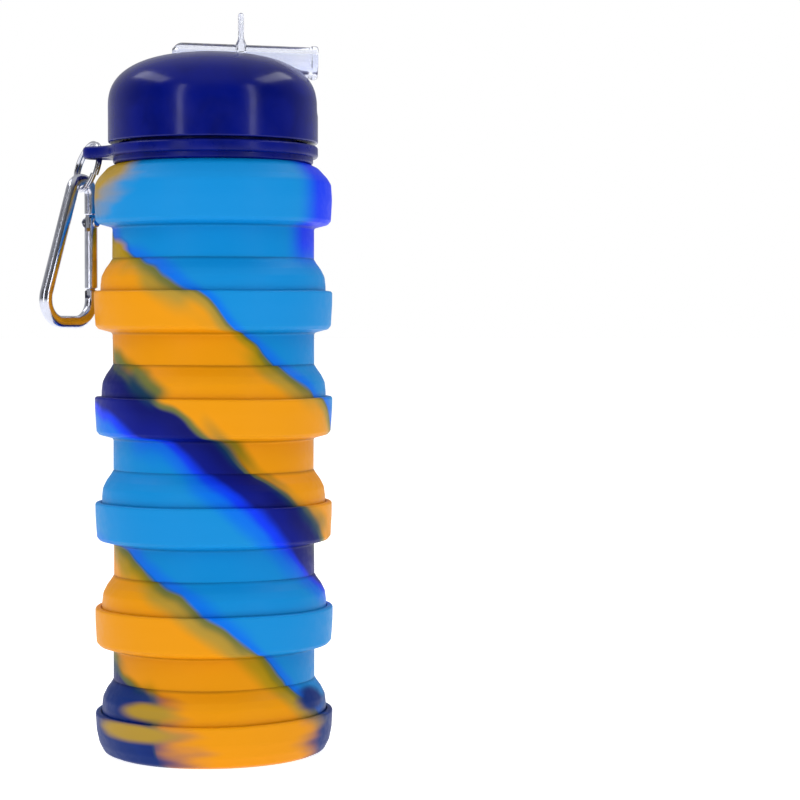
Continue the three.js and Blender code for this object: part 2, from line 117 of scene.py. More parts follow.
def rounded(corners, closed=True, arc_step=math.radians(11)):
    """(radius, height, fillet) corners to a polyline, with an arc at each corner that has a fillet."""
    out = []
    count = len(corners)
    for i, (x, y, fillet) in enumerate(corners):
        here = Vector((x, y))
        if fillet <= 0 or (not closed and i in (0, count - 1)):
            out.append(here)
            continue
        before = Vector(corners[i - 1][:2]) - here
        after = Vector(corners[(i + 1) % count][:2]) - here
        bend = before.angle(after)
        if abs(bend - math.pi) < 0.02:
            out.append(here)
            continue
        reach = min(fillet / math.tan(bend / 2), before.length * 0.48, after.length * 0.48)
        radius = reach * math.tan(bend / 2)
        towards = (before.normalized() + after.normalized()).normalized()
        centre = here + towards * (radius / math.sin(bend / 2))
        start = here + before.normalized() * reach - centre
        sweep = start.angle_signed(here + after.normalized() * reach - centre)
        steps = max(2, math.ceil(abs(sweep) / arc_step))
        for k in range(steps + 1):
            turn = -sweep * k / steps
            out.append(centre + Matrix.Rotation(turn, 2) @ start)
    return out


def spaced(line, longest, closed=True):
    """The polyline with its long spans cut, and a holding point close to each end of them."""
    out = []
    last = len(line) if closed else len(line) - 1
    for i in range(last):
        a, b = line[i], line[(i + 1) % len(line)]
        out.append(a)
        gap = (b - a).length
        if gap > 4 * HOLD:
            cuts = max(1, round(gap / longest))
            stops = [HOLD / gap] + [k / cuts for k in range(1, cuts)] + [1 - HOLD / gap]
            out += [a.lerp(b, t) for t in stops]
    if not closed:
        out.append(line[-1])
    return out


def metres(corners, base=0.0):
    """(radius, height above base, fillet) corners, from millimetres to metres in the frame."""
    return [(radius * MM, base + height * MM, fillet * MM) for radius, height, fillet in corners]


def profile(corners, longest, closed=True, base=0.0):
    """Corners in millimetres to a finely spaced outline in metres."""
    return spaced(rounded(metres(corners, base), closed), longest * MM, closed)


def spun(line, steps, lengths, wobble):
    """The outline's points at each step round Z, with the pattern coordinates of each."""
    points, rest = [], []
    for i in range(steps):
        angle = TAU * i / steps
        away = Vector((math.cos(angle), math.sin(angle), 0))
        for k, (radius, height) in enumerate(line):
            dr, dz = wobble(angle, height) if wobble else (0, 0)
            points.append(away * (radius + dr) + Vector((0, 0, height + dz)))
            if lengths:
                rest.append((away.x, away.y, lengths[k]))
    return points, rest


def revolved(name, line, steps, lengths=None, wobble=None):
    """Turns a closed outline about Z. The surface length along the outline is kept for patterns."""
    points, rest = spun(line, steps, lengths, wobble)
    faces = []
    count = len(line)
    for i in range(steps):
        j = (i + 1) % steps
        for k in range(count):
            m = (k + 1) % count
            faces.append((i * count + k, j * count + k, j * count + m, i * count + m))
    obj = mesh_from(name, points, faces)
    if lengths:
        store(obj, rest)
    return shade(obj)


def solid_of_revolution(name, line, steps, lengths=None, wobble=None):
    """Turns an outline that starts and ends on the axis."""
    points, rest = spun(line[1:-1], steps, lengths and lengths[1:-1], wobble)
    points = [Vector((0, 0, line[0][1])), Vector((0, 0, line[-1][1]))] + points
    rest = [(0, -1, 0), (0, -1, 0)] + rest
    faces = []
    count = len(line) - 2
    for i in range(steps):
        a, b = 2 + i * count, 2 + ((i + 1) % steps) * count
        faces.append((0, b, a))
        faces.append((1, a + count - 1, b + count - 1))
        faces += [(a + k, b + k, b + k + 1, a + k + 1) for k in range(count - 1)]
    obj = mesh_from(name, points, faces)
    if lengths:
        store(obj, rest)
    return shade(obj)


def store(obj, rest):
    """Keeps the rest direction and surface length of each point, so a pattern stays put as it moves.

    The second attribute says how far inside the ring radius the point lies and how near it is to a crease;
    the silicone material paints shade by these, in the folds and along the creases.
    """
    place = obj.data.attributes.new("rest_place", "FLOAT_VECTOR", "POINT")
    depth = obj.data.attributes.new("shade_in_folds", "FLOAT_VECTOR", "POINT")
    for vertex, there, fold_shade, value in zip(obj.data.vertices, place.data, depth.data, rest):
        there.vector = value
        radius = math.hypot(vertex.co.x, vertex.co.y)
        share = (RING_RADIUS - radius) / (RING_RADIUS - WALL_RADIUS)
        # Painted crease shade fades out within a short reach of each crease, and the rings' outer bands
        # get none.
        near = min(abs(vertex.co.z - height) for height in CREASES)
        line = 1 - min(1.0, near / CREASE_SHADE_REACH) if radius < RING_RADIUS - OUTER_BAND else 0.0
        fold_shade.vector = (min(1.0, max(0.0, share)), line, 0)


def swept(name, path, section, scales=None, closed=False):
    """Carries a section (a ring of 2D points) along a path, turning as little as it can."""
    count = len(path)
    tangents = []
    for i in range(count):
        if closed:
            step = path[(i + 1) % count] - path[i - 1]
        else:
            step = path[min(i + 1, count - 1)] - path[max(i - 1, 0)]
        tangents.append(step.normalized())
    side = tangents[0].orthogonal().normalized()
    points, faces = [], []
    for i in range(count):
        if i:
            side = tangents[i - 1].rotation_difference(tangents[i]) @ side
            side = (side - tangents[i] * side.dot(tangents[i])).normalized()
        other = tangents[i].cross(side)
        scale = scales[i] if scales else 1
        points += [path[i] + (side * u + other * v) * scale for u, v in section]
    size = len(section)
    for i in range(count if closed else count - 1):
        j = (i + 1) % count
        for k in range(size):
            m = (k + 1) % size
            faces.append((i * size + k, i * size + m, j * size + m, j * size + k))
    if not closed:
        faces.append(tuple(range(size)))
        faces.append(tuple((count - 1) * size + k for k in range(size)))
    return shade(mesh_from(name, points, faces))


def loft(name, rings):
    """Joins rings of equal size into a closed solid."""
    size = len(rings[0])
    points = [p for ring in rings for p in ring]
    faces = [tuple(range(size)), tuple(len(points) - size + k for k in range(size))]
    for i in range(len(rings) - 1):
        for k in range(size):
            m = (k + 1) % size
            faces.append((i * size + k, i * size + m, (i + 1) * size + m, (i + 1) * size + k))
    return mesh_from(name, points, faces)


def circle(radius, steps):
    return [(radius * math.cos(TAU * k / steps), radius * math.sin(TAU * k / steps))
            for k in range(steps)]


def boolean(target, tool, operation):
    """Applies the tool to the target and removes it."""
    change = target.modifiers.new(operation, "BOOLEAN")
    change.operation = operation
    change.solver = "EXACT"
    change.object = tool
    settle(target)
    bpy.data.objects.remove(tool)


def add(target, tool):
    boolean(target, tool, "UNION")


def cut(target, tool):
    boolean(target, tool, "DIFFERENCE")


def evaluated(obj):
    """A mesh of the object as its modifiers leave it."""
    bpy.context.view_layer.update()
    seen = obj.evaluated_get(bpy.context.evaluated_depsgraph_get())
    return bpy.data.meshes.new_from_object(seen)


def settle(obj):
    """Applies every modifier on the object."""
    mesh = evaluated(obj)
    obj.modifiers.clear()
    obj.data = mesh


def box_between(name, low, high):
    work = bmesh.new()
    bmesh.ops.create_cube(work, size=1)
    middle = (Vector(low) + Vector(high)) / 2
    size = Vector(high) - Vector(low)
    for vert in work.verts:
        vert.co = Vector((vert.co.x * size.x, vert.co.y * size.y, vert.co.z * size.z)) + middle
    mesh = bpy.data.meshes.new(name)
    work.to_mesh(mesh)
    work.free()
    return new_object(name, mesh)


def rod_between(name, start, end, radius, steps=48):
    length = (end - start).length
    line = [Vector(p) for p in ((0, 0), (radius, 0), (radius, length), (0, length))]
    obj = solid_of_revolution(name, line, steps)
    turn = Vector((0, 0, 1)).rotation_difference(end - start).to_matrix().to_4x4()
    obj.data.transform(Matrix.Translation(start) @ turn)
    return obj


def joined(first, *others):
    """Puts the other meshes into the first object, each still a closed body of its own."""
    work = bmesh.new()
    for obj in (first, *others):
        work.from_mesh(obj.data)
    work.to_mesh(first.data)
    work.free()
    for obj in others:
        bpy.data.objects.remove(obj)
    return shade(first)


# ==== materials ====
def linear(red, green, blue):
    """An sRGB colour, 0 to 255, as the linear colour that shaders use."""
    return tuple((c / 255 / 12.92) if c / 255 <= 0.04045 else ((c / 255 + 0.055) / 1.055) ** 2.4
                 for c in (red, green, blue)) + (1.0,)


class Nodes:
    """Short names for building a node tree."""

    def __init__(self, name):
        self.material = bpy.data.materials.new(name)
        self.material.use_nodes = True
        self.tree = self.material.node_tree
        self.tree.nodes.clear()
        self.shader = self.new("BsdfPrincipled")
        output = self.new("OutputMaterial")
        self.link(self.shader.outputs[0], output.inputs["Surface"])

    def new(self, kind):
        return self.tree.nodes.new("ShaderNode" + kind)

    def link(self, source, target):
        self.tree.links.new(source, target)

    def feed(self, target, value):
        if isinstance(value, bpy.types.NodeSocket):
            self.link(value, target)
        else:
            target.default_value = value

    def give(self, name, value):
        """Feeds one of the shader's own sockets."""
        self.feed(self.shader.inputs[name], value)

    def math(self, operation, first, second=0.0, third=0.0):
        node = self.new("Math")
        node.operation = operation
        for socket, value in zip(node.inputs, (first, second, third)):
            self.feed(socket, value)
        return node.outputs[0]

    def plus(self, first, second):
        return self.math("ADD", first, second)

    def minus(self, first, second):
        return self.math("SUBTRACT", first, second)

    def times(self, first, second):
        return self.math("MULTIPLY", first, second)

    def noise(self, vector, scale, detail=3.0, roughness=0.5, distortion=0.0):
        node = self.new("TexNoise")
        self.feed(node.inputs["Vector"], vector)
        node.inputs["Scale"].default_value = scale
        node.inputs["Detail"].default_value = detail
        node.inputs["Roughness"].default_value = roughness
        node.inputs["Distortion"].default_value = distortion
        return node.outputs["Fac"]

    def span(self, value, low, high, to_low=0.0, to_high=1.0):
        node = self.new("MapRange")
        node.interpolation_type = "SMOOTHSTEP"
        for name, number in (("Value", value), ("From Min", low), ("From Max", high),
                             ("To Min", to_low), ("To Max", to_high)):
            self.feed(node.inputs[name], number)
        return node.outputs[0]

    def mix(self, factor, first, second):
        node = self.new("Mix")
        node.data_type = "RGBA"
        self.feed(node.inputs[0], factor)
        self.feed(node.inputs[6], first)
        self.feed(node.inputs[7], second)
        return node.outputs[2]

    def ramp(self, factor, stops):
        node = self.new("ValToRGB")
        node.color_ramp.interpolation = "EASE"
        entries = node.color_ramp.elements
        entries[0].position, entries[0].color = stops[0]
        entries[1].position, entries[1].color = stops[-1]
        for position, colour in stops[1:-1]:
            entries.new(position).color = colour
        self.feed(node.inputs[0], factor)
        return node.outputs[0]

    def split(self, vector):
        node = self.new("SeparateXYZ")
        self.link(vector, node.inputs[0])
        return node.outputs

    def join(self, x, y, z):
        node = self.new("CombineXYZ")
        for socket, value in zip(node.inputs, (x, y, z)):
            self.feed(socket, value)
        return node.outputs[0]

    def place(self):
        node = self.new("TexCoord")
        return node.outputs["Object"]

    def attribute(self, name):
        node = self.new("Attribute")
        node.attribute_name = name
        return node.outputs["Vector"]

    def bump(self, height, strength, distance, below=None):
        node = self.new("Bump")
        node.inputs["Strength"].default_value = strength
        node.inputs["Distance"].default_value = distance
        self.feed(node.inputs["Height"], height)
        if below:
            self.link(below, node.inputs["Normal"])
        return node.outputs[0]


# Marbling. The bands run round the bottle as a helix: one colour cycle climbs as it goes once round.
CYCLE = 108.0                       # millimetres of surface length in one colour cycle
CYCLE_START = 51.0
TOP_HOLD = 188.0                    # above this length the front stays light blue
BOTTOM_HOLD = 14.5                  # below this one, right of the front's left third, orange
LIGHT_BLUE = linear(14, 134, 204)
SKY_BLUE = linear(0, 108, 222)
ROYAL = linear(0, 54, 232)
NAVY = linear(0, 16, 124)
DEEP_NAVY = linear(0, 8, 96)
DARK_TEAL = linear(14, 52, 82)
ORANGE = linear(224, 146, 8)
OLIVE = linear(104, 108, 56)
MUSTARD = linear(170, 138, 50)
TEAL_NAVY = linear(10, 42, 112)

# colour, angle from the front, surface length, half angle, half length: patches laid over the bands
SMUDGES = [
    (MUSTARD, -1.34, 208, 0.60, 14),
    (MUSTARD, -1.30, 178, 0.36, 5),
    (TEAL_NAVY, -1.25, 2, 1.08, 20),
    (TEAL_NAVY, -1.36, 19.5, 1.02, 6.5),
    (MUSTARD, -0.62, 17.5, 0.34, 3.0),
    (MUSTARD, -0.76, 10.5, 0.50, 3.0),
    (TEAL_NAVY, 1.52, 6, 0.66, 15),
    (TEAL_NAVY, 1.08, 19.5, 0.26, 4.5),
]


def marbled_silicone():
    n = Nodes("marbled_silicone")
    x, y, length = n.split(n.attribute("rest_place"))
    # The folds' attribute says where shade is painted: inside the folds and along the creases.
    fold_shade, crease, _ = n.split(n.attribute("shade_in_folds"))
    angle = n.math("ARCTAN2", x, n.times(y, -1))
    length_mm = n.math("DIVIDE", length, MM)
    around = n.join(n.times(x, 32.0), n.times(y, 32.0), length_mm)
    # The bands fall slowly on the left of the front and steeply just right of its middle.
    late = n.minus(angle, 0.4)
    steep = n.times(n.math("SINE", late), 9.0)
    steeper = n.times(n.math("SINE", n.times(late, 2.0)), 3.0)
    climb = n.math("MULTIPLY_ADD", angle, CYCLE / TAU, 5.5)
    band = n.plus(n.plus(length_mm, climb), n.plus(steep, steeper))
    wander = n.times(n.minus(n.noise(around, 0.032, 2.0), 0.5), 9.0)
    curl = n.times(n.minus(n.noise(around, 0.085, 1.5, 0.4), 0.5), 5.0)
    band = n.plus(band, n.plus(wander, curl))
    # The front holds light blue above one length and, right of its left third, orange below another.
    front = n.times(n.span(angle, -2.3, -1.7), n.span(angle, 2.7, 2.0))
    above = n.math("MAXIMUM", n.minus(band, TOP_HOLD), 0.0)
    band = n.minus(band, n.times(above, front))
    low_front = n.times(n.span(angle, -0.75, -0.35), n.span(angle, 2.7, 2.0))
    below = n.math("MAXIMUM", n.minus(BOTTOM_HOLD, band), 0.0)
    band = n.plus(band, n.times(below, low_front))
    phase = n.math("FRACT", n.math("DIVIDE", n.minus(band, CYCLE_START), CYCLE))
    crisp = n.ramp(phase, [
        (0.000, SKY_BLUE), (0.040, LIGHT_BLUE), (0.350, LIGHT_BLUE), (0.410, SKY_BLUE), (0.437, ROYAL),
        (0.462, NAVY), (0.560, DEEP_NAVY), (0.578, OLIVE), (0.600, ORANGE),
        (0.940, ORANGE), (0.975, MUSTARD), (0.992, OLIVE), (1.000, SKY_BLUE),
    ])
    blurred = n.ramp(phase, [
        (0.000, SKY_BLUE), (0.060, LIGHT_BLUE), (0.320, LIGHT_BLUE), (0.385, SKY_BLUE), (0.422, ROYAL),
        (0.468, NAVY), (0.535, DEEP_NAVY), (0.575, DARK_TEAL), (0.612, OLIVE), (0.655, ORANGE),
        (0.890, ORANGE), (0.950, MUSTARD), (0.984, OLIVE), (1.000, SKY_BLUE),
    ])
    softness = n.span(n.noise(around, 0.04, 1.0), 0.40, 0.60)
    colour = n.mix(softness, crisp, blurred)
    # Patches where one colour bled into another, with streaky edges.
    streak = n.join(n.times(angle, 7.0), 0.0, n.times(length_mm, 0.8))
    tear = n.times(n.minus(n.noise(streak, 0.32, 1.0, 0.4), 0.5), 0.6)
    for tint, where, height, wide, tall in SMUDGES:
        across = n.math("DIVIDE", n.minus(angle, where), wide)
        up = n.math("DIVIDE", n.minus(length_mm, height), tall)
        far = n.math("SQRT", n.plus(n.math("POWER", across, 2.0), n.math("POWER", up, 2.0)))
        colour = n.mix(n.span(n.plus(far, tear), 1.20, 0.50), colour, tint)
    # Painted shade: the right side of the shoulder, and of the wall below it, is darkened to royal blue,
    # as it turns away from the light.
    edge = n.times(n.span(angle, 0.74, 1.08), n.span(angle, 2.6, 2.0))
    right_edge_shade = n.times(edge, n.span(length_mm, 170.0, 182.0))
    colour = n.mix(right_edge_shade, colour, ROYAL)
    # Painted shade: deeper colour inside the folds, and darkest along the creases.
    painted_wall_shade = n.new("HueSaturation")
    painted_wall_shade.inputs["Saturation"].default_value = 1.15
    painted_wall_shade.inputs["Value"].default_value = 0.95
    n.link(colour, painted_wall_shade.inputs["Color"])
    colour = n.mix(n.span(fold_shade, 0.25, 1.0), colour, painted_wall_shade.outputs[0])
    painted_crease_shade = n.new("HueSaturation")
    painted_crease_shade.inputs["Saturation"].default_value = 1.3
    painted_crease_shade.inputs["Value"].default_value = 0.55
    n.link(colour, painted_crease_shade.inputs["Color"])
    colour = n.mix(n.span(crease, 0.15, 1.0, 0.0, 0.75), colour, painted_crease_shade.outputs[0])
    n.give("Base Color", colour)
    n.give("Roughness", n.span(n.noise(around, 0.5, 3.0), 0.3, 0.7, 0.40, 0.50))
    n.give("Specular IOR Level", 0.10)
    ripple = n.bump(n.noise(around, 0.09, 2.0), 0.25, 0.0008)
    grain = n.bump(n.noise(around, 6.0, 2.0), 0.12, 0.00003, ripple)
    n.give("Normal", grain)
    return n.material


def moulded_plastic(name, colour, tint, rough_low, rough_high, coat):
    """Injection-moulded plastic: faint flow marks in the colour and fine rub marks in the gloss."""
    n = Nodes(name)
    place = n.place()
    flow = n.span(n.noise(place, 60.0, 3.0, 0.5, 1.0), 0.35, 0.7)
    n.give("Base Color", n.mix(flow, colour, tint))
    rubbed = n.span(n.noise(place, 240.0, 4.0, 0.6), 0.35, 0.7, rough_low, rough_high)
    n.give("Roughness", rubbed)
    n.give("Specular IOR Level", 0.14)
    n.give("Coat Weight", coat)
    n.give("Coat Roughness", 0.12)
    n.give("Normal", n.bump(n.noise(place, 90.0, 2.0), 0.06, 0.0002))
    return n.material


def clear_plastic():
    n = Nodes("clear_plastic")
    place = n.place()
    haze = n.span(n.noise(place, 130.0, 3.0), 0.35, 0.7)
    n.give("Base Color", n.mix(haze, (0.84, 0.87, 1.0, 1), (0.90, 0.92, 1.0, 1)))
    n.give("Transmission Weight", 0.94)
    n.give("IOR", 1.46)
    n.give("Roughness", n.span(n.noise(place, 300.0), 0.3, 0.7, 0.08, 0.16))
    n.give("Normal", n.bump(n.noise(place, 70.0, 2.0), 0.08, 0.0003))
    return n.material


def polished_metal(name, colour, rough_low, rough_high):
    """Polished metal with fine tumbling scratches and slight colour clouds."""
    n = Nodes(name)
    place = n.place()
    x, y, z = n.split(place)
    stretched = n.join(n.times(x, 6.0), n.times(y, 6.0), z)
    fine = n.noise(stretched, 700.0, 4.0, 0.65)
    clouds = n.span(n.noise(place, 180.0, 2.0), 0.3, 0.75)
    darker = tuple(c * 0.8 for c in colour[:3]) + (1.0,)
    n.give("Base Color", n.mix(clouds, colour, darker))
    n.give("Metallic", 1.0)
    n.give("Roughness", n.span(fine, 0.3, 0.75, rough_low, rough_high))
    n.give("Normal", n.bump(fine, 0.10, 0.00004))
    return n.material


def soft_seal():
    n = Nodes("seal_silicone")
    place = n.place()
    n.give("Base Color", n.mix(n.noise(place, 200.0), linear(222, 226, 230), linear(205, 211, 219)))
    n.give("Roughness", n.span(n.noise(place, 500.0), 0.3, 0.7, 0.45, 0.6))
    n.give("Subsurface Weight", 0.15)
    n.give("Subsurface Scale", 0.002)
    return n.material


SILICONE = marbled_silicone()
GLOSS_NAVY = moulded_plastic("navy_gloss_plastic", linear(2, 15, 110), linear(0, 10, 94),
                             0.20, 0.27, 0.12)
SATIN_NAVY = moulded_plastic("navy_satin_plastic", linear(2, 17, 114), linear(0, 12, 96),
                             0.27, 0.36, 0.0)
INNER_NAVY = moulded_plastic("inner_plastic", linear(28, 40, 100), linear(22, 32, 88),
                             0.42, 0.55, 0.0)
CLEAR = clear_plastic()
STEEL = polished_metal("bright_steel", (0.62, 0.63, 0.70, 1.0), 0.14, 0.24)
ALUMINIUM = polished_metal("bright_aluminium", (0.64, 0.66, 0.76, 1.0), 0.14, 0.26)
SEAL = soft_seal()


def finish_piece(obj, body, material, slot, *nodes):
    """Gives a piece its material and body, and hides the parts of the nodes that it stands for; the slot
    is not used.
    """
    obj.data.materials.clear()
    obj.data.materials.append(material)
    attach(obj, body)
    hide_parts(*nodes)


# ==== folding silicone body ====
def hand_feel(angle, height):
    """Soft mouldings are never quite round or level: a tenth of a millimetre either way."""
    up = height / MM
    out = 0.10 * math.sin(2 * angle + up / 17) + 0.06 * math.sin(3 * angle - up / 9 + 1.0)
    lift = 0.13 * math.sin(2 * angle + up / 23 + 2.0) + 0.05 * math.sin(5 * angle + up / 31)
    fade = min(1.0, max(0.0, up / 6))
    return out * MM, lift * MM * fade


def travelled(line, start, top):
    """Surface length at each point of an outline: it grows up to the point top and then shrinks."""
    lengths, here = [start], start
    for k in range(1, len(line)):
        step = (line[k] - line[k - 1]).length
        here += step if k <= top else -step
        lengths.append(here)
    return lengths


def highest(line):
    top = max(p.y for p in line)
    return max(k for k, p in enumerate(line) if p.y > top - 0.02 * MM)


def silicone_piece(name, corners, start):
    """A closed silicone outline, turned. Returns the object and the surface length at its lip."""
    line = spaced(rounded(corners), SILICONE_SPAN * MM)
    top = highest(line)
    lengths = travelled(line, start, top)
    return revolved(name, line, SILICONE_STEPS, lengths, hand_feel), lengths[top]


def ring_corners(top, lip):
    """Outline of a ring from the crease below it, up its outside; lip finishes it at the top."""
    ring, wall, channel = (length / MM for length in (RING_RADIUS, WALL_RADIUS, CHANNEL_RADIUS))
    foot, shelf, floor = ((CREASE_RISE - PITCH) / MM, -SHELF / MM, -BAND_FLOOR / MM)
    inner = wall - WALL_SKIN / MM
    return metres([
        (wall, foot, 0.45), (wall, shelf, 0.9), (ring - 1.3, -11.2, 0.8), (ring - 0.45, -10.2, 0.8),
        (ring - 0.05, -4.0, 20), *lip, (channel, floor, 0.5), (inner, floor, 0.9), (inner, foot, 0.45),
    ], top)


def ring_lip():
    return [(RING_RADIUS / MM, 0, 0.75), (CHANNEL_RADIUS / MM, 0, 0.3)]


def shoulder_lip(top):
    """Up over the shoulder to the collar's flange, and back down inside."""
    neck, clamp = 26.5, 23.0
    flange = (COLLAR_BOTTOM - top) / MM - 0.3
    return [
        (RING_RADIUS / MM - 0.3, 0.6, 2.6), (33.6, 2.4, 3.0), (31.0, 5.3, 3.5), (28.2, 6.6, 2.0),
        (neck, 7.2, 0.6), (neck, flange, 0.3), (clamp, flange, 0.2), (clamp, 4.0, 0.2),
        (28.2, 4.0, 1.0), (31.6, 2.2, 1.5), (CHANNEL_RADIUS / MM, -0.6, 1.0),
    ]


def flare_corners(lip):
    """The soft flare from just inside a ring's lip up to the crease under the wall above it."""
    outside = [(33.05, -0.5, 0), (33.0, 1.6, 1.5), (32.7, 4.2, 3.0), (31.6, 6.4, 3.0),
               (30.3, 8.2, 2.0), (29.55, 9.45, 0)]
    skin = 1.05
    inside = [(radius - skin, rise, fillet) for radius, rise, fillet in reversed(outside)]
    return metres(outside + inside, lip)


def base_line():
    """Base cup: a standing rim round a slightly raised floor, with an open channel inside its lip."""
    lip, ring, channel = (length / MM for length in (LIP_Z, RING_RADIUS, CHANNEL_RADIUS))
    return profile([
        (0, 0.35, 0), (28.6, 0.35, 0.2), (29.0, 0, 0.3), (30.4, 0, 1.2), (32.6, 0.9, 1.5),
        (34.0, 3.6, 3.0), (34.7, 7.0, 6.0), (ring, lip, 0.75), (channel, lip, 0.3),
        (channel, 4.0, 1.5), (channel - 2.0, 2.0, 1.0), (0, 2.0, 0),
    ], SILICONE_SPAN, closed=False)


BODIES_UP = ["base", "ring_1", "ring_2", "ring_3", "ring_4", "shoulder"]
BASE_LENGTH = 14.3 * MM             # surface length at the base cup's lip, where the pattern starts
SILICONE_SLOT = "marbled_silicone"


def build_base():
    line = base_line()
    top = highest(line)
    run = sum((line[k] - line[k - 1]).length for k in range(1, top + 1))
    lengths = travelled(line, BASE_LENGTH - run, top)
    cup = solid_of_revolution("base_cup_skin", line, SILICONE_STEPS, lengths, hand_feel)
    finish_piece(cup, "base", SILICONE, SILICONE_SLOT, "base_cup")


def build_folds():
    """Five flares and the ring above each. The last ring is the shoulder."""
    lip_length = BASE_LENGTH
    for index in range(1, FOLDS + 1):
        lip = LIP_Z + (index - 1) * PITCH
        top = lip + PITCH
        below, above = BODIES_UP[index - 1], BODIES_UP[index]
        flare, flare_end = silicone_piece(
            f"fold_wall_{index}_skin", flare_corners(lip), lip_length - 0.5 * MM)
        flare.data.materials.append(SILICONE)
        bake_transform(flare)
        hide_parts(f"fold_wall_{index}")
        if index < FOLDS:
            name, node = f"fold_ring_{index}_skin", f"fold_ring_{index}"
            corners = ring_corners(top, ring_lip())
        else:
            name, node = "shoulder_skin", "shoulder_ring"
            corners = ring_corners(top, shoulder_lip(top))
        ring, lip_length = silicone_piece(name, corners, flare_end)
        finish_piece(ring, above, SILICONE, SILICONE_SLOT, node)


build_base()
build_folds()


# ==== neck collar ====
FLANGE_RADIUS = 30.85 * MM
EAR_RADIUS = 4.6 * MM
EAR_HOLE = 3.1 * MM
EAR_REACH = 34.2 * MM
EAR_ANGLE = math.pi - math.radians(8.5)
FLANGE_BORE = 22.0 * MM
FLANGE_EDGE = 0.85 * MM
THREAD_LEAD = 9 * MM
THREAD_BOTTOM = 182.3 * MM
THREAD_RIDGE = 1.1 * MM


def arc(centre, radius, start, end, steps):
    return [centre + radius * Vector((math.cos(a), math.sin(a)))
            for a in (start + (end - start) * k / steps for k in range(steps + 1))]


def curve_through(start, control, end, steps):
    return [start.lerp(control, t).lerp(control.lerp(end, t), t)
            for t in (k / steps for k in range(1, steps))]


def flange_outline():
    """Round flange with the ear blended into it by two hollow fillets."""
    middle = Vector((0, 0))
    ear = EAR_REACH * Vector((math.cos(EAR_ANGLE), math.sin(EAR_ANGLE)))
    blend, side, lead = (math.radians(a) for a in (24, 68, 12))
    flange = arc(middle, FLANGE_RADIUS, EAR_ANGLE + blend, EAR_ANGLE - blend + TAU, 150)
    tip = arc(ear, EAR_RADIUS, EAR_ANGLE - side, EAR_ANGLE + side, 30)
    near = 30.6 * MM
    first = near * Vector((math.cos(EAR_ANGLE - lead), math.sin(EAR_ANGLE - lead)))
    second = near * Vector((math.cos(EAR_ANGLE + lead), math.sin(EAR_ANGLE + lead)))
    return (flange + curve_through(flange[-1], first, tip[0], 12) + tip
            + curve_through(tip[-1], second, flange[0], 12)), ear


def plate(name, outlines, bottom, top, edge):
    """A flat plate with holes and rounded edges, from closed outlines."""
    data = bpy.data.curves.new(name, "CURVE")
    data.dimensions = "2D"
    data.fill_mode = "BOTH"
    for outline in outlines:
        spline = data.splines.new("POLY")
        spline.points.add(len(outline) - 1)
        for point, place in zip(spline.points, outline):
            point.co = (place.x, place.y, 0, 1)
        spline.use_cyclic_u = True
    data.extrude = (top - bottom) / 2 - edge
    data.bevel_depth = edge
    data.bevel_resolution = 3
    data.offset = -edge
    source = new_object(name + "_outline", data)
    mesh = evaluated(source)
    bpy.data.objects.remove(source)
    mesh.transform(Matrix.Translation((0, 0, (top + bottom) / 2)))
    work = bmesh.new()
    work.from_mesh(mesh)
    bmesh.ops.remove_doubles(work, verts=work.verts, dist=1e-6)
    bmesh.ops.recalc_face_normals(work, faces=work.faces)
    work.to_mesh(mesh)
    work.free()
    mesh.name = name
    return shade(new_object(name, mesh))


def thread(name, radius, bottom, start, turns):
    """One start of a round thread, running out to nothing at both ends."""
    steps = 120
    run_out = 12
    path, scales = [], []
    for k in range(steps + 1):
        t = k / steps
        angle = start + t * turns * TAU
        path.append(Vector((radius * math.cos(angle), radius * math.sin(angle),
                            bottom + t * turns * THREAD_LEAD)))
        scales.append(max(0.06, min(1.0, t * run_out, (1 - t) * run_out)))
    return swept(name, path, circle(THREAD_RIDGE, 12), scales)


def build_collar():
    """Flange with its ear, the tube clamped in the silicone neck, a step under the flange, and threads."""
    outline, ear = flange_outline()
    hole = arc(ear, EAR_HOLE, 0, TAU, 40)[:-1]
    bore = arc(Vector((0, 0)), FLANGE_BORE, 0, TAU, 120)[:-1]
    flange = plate("neck_collar_skin", [outline, bore, hole], COLLAR_BOTTOM, COLLAR_TOP, FLANGE_EDGE)
    foot, top = ((height - COLLAR_BOTTOM) / MM for height in (tube_low[2], tube_high[2]))
    inner, outer, clamp, bead = 20.5, 24.6, 22.7, 24.9
    tube = revolved("collar_tube", profile([
        (inner, foot, 0.4), (bead, foot, 0.4), (bead, -4.6, 0.2), (clamp, -4.6, 0.2),
        (clamp, 1.0, 0.2), (outer, 1.8, 0.2), (outer, top, 0.5), (inner, top, 0.4),
    ], 2, base=COLLAR_BOTTOM), 128)
    hidden, shown, drop = 26.5, 29.4, -1.9
    step = revolved("collar_step", profile([
        (hidden, drop, 0.2), (shown, drop, 0.8), (shown, 0.3, 0.2), (hidden, 0.3, 0.2),
    ], 2, base=COLLAR_BOTTOM), 128)
    ridges = [thread(f"collar_thread_{k}", 25.1 * MM, THREAD_BOTTOM, k * math.pi, 0.9)
              for k in range(2)]
    collar = joined(flange, tube, step, *ridges)
    finish_piece(collar, "shoulder", SATIN_NAVY, "navy_satin_plastic",
                 "neck_collar", "neck_tube", "neck_thread_1", "neck_thread_2")


build_collar()


# ==== cap ====
CAP_RADIUS = 30.85 * MM
DOME_FOOT = SKIRT_BOTTOM + 10.4 * MM
DOME_POWER = 2.5
GROOVE_HALF = 5.5 * MM
GROOVE_FLOOR = DOME_TOP - 7.5 * MM
GROOVE_BACK = -14.0 * MM
GROOVE_FRONT = 24.0 * MM
GROOVE_END = 33.5 * MM
GROOVE_STEP = 0.6 * MM
DOME_LIMIT = 30.0 * MM              # past this distance from the axis the dome has no top to follow
RAMP_FALL = 12.7 / 7.85             # how steeply the finger ramp falls


def dome_height(radius):
    """Height of the dome's outer face at a distance from the axis."""
    share = min(1.0, radius / CAP_RADIUS) ** DOME_POWER
    return DOME_FOOT + (DOME_TOP - DOME_FOOT) * (1 - share) ** (1 / DOME_POWER)


